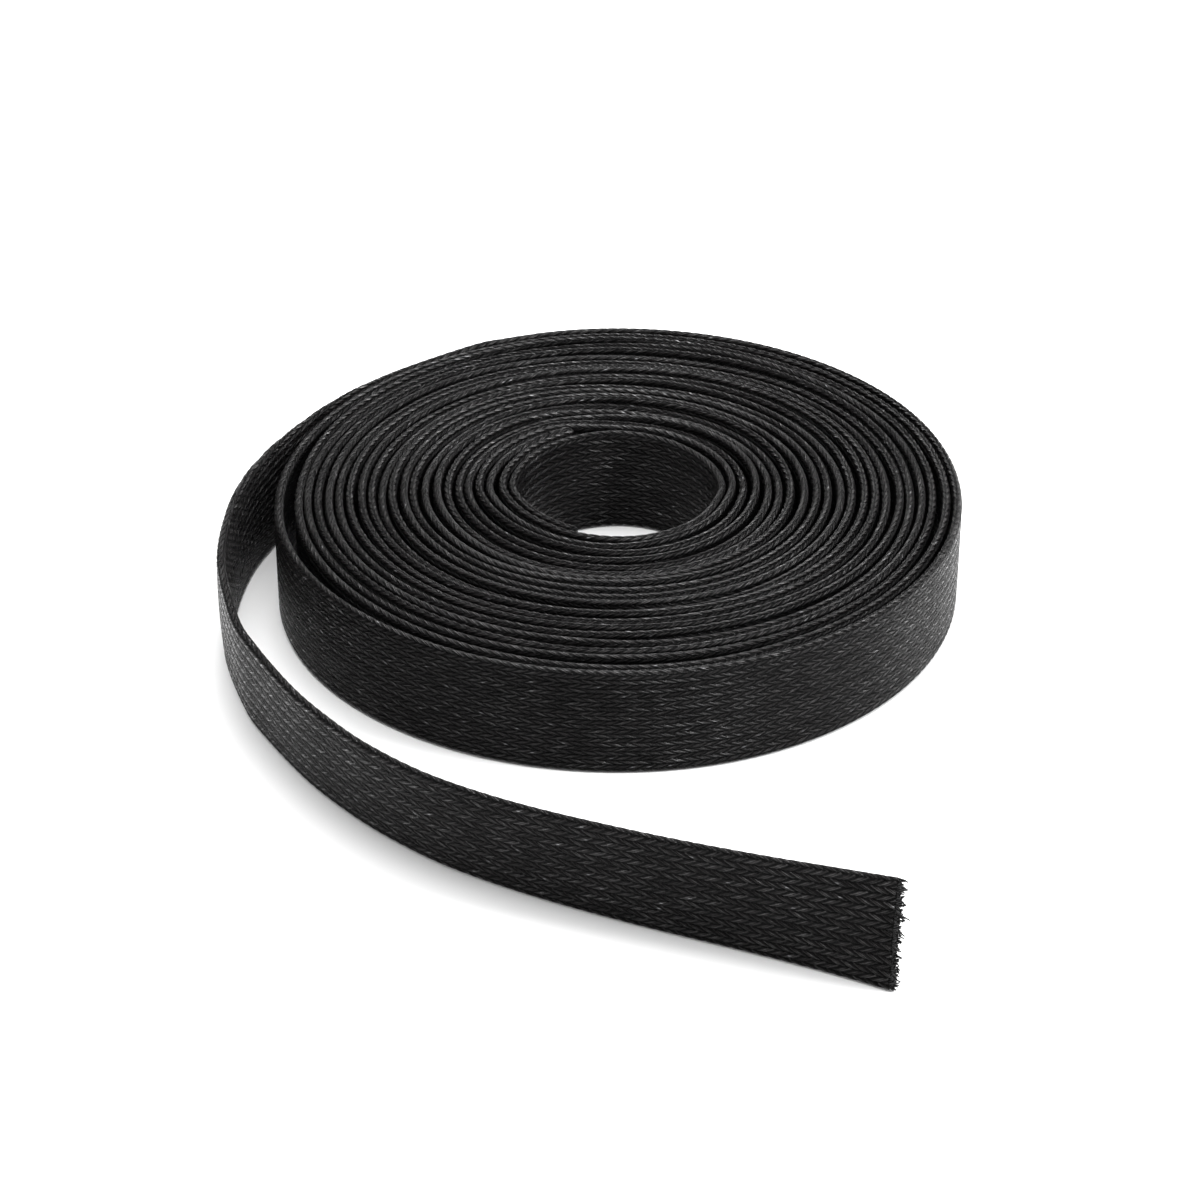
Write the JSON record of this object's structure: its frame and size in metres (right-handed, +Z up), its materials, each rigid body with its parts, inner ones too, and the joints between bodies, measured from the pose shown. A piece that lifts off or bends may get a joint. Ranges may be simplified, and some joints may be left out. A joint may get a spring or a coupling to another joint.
{
  "type": "braided cable sleeve",
  "caption": "Flat-laid braided cable sleeve wound into a roll that stands on its edge, its free end swinging round the roll.",
  "frame": {"origin": "on the floor, at the middle of the sleeve's outer box seen from above", "axes": "+Z up along the roll's axis, +Y the way from the free end to the roll, +X to the right as seen from the free end's side"},
  "size_m": [0.1268, 0.1746, 0.019],
  "materials": {
    "braid": "black braided polyester monofilament, satin"
  },
  "bodies": {
    "root": {"braided_sleeve": "braid"}
  },
  "joints": []
}
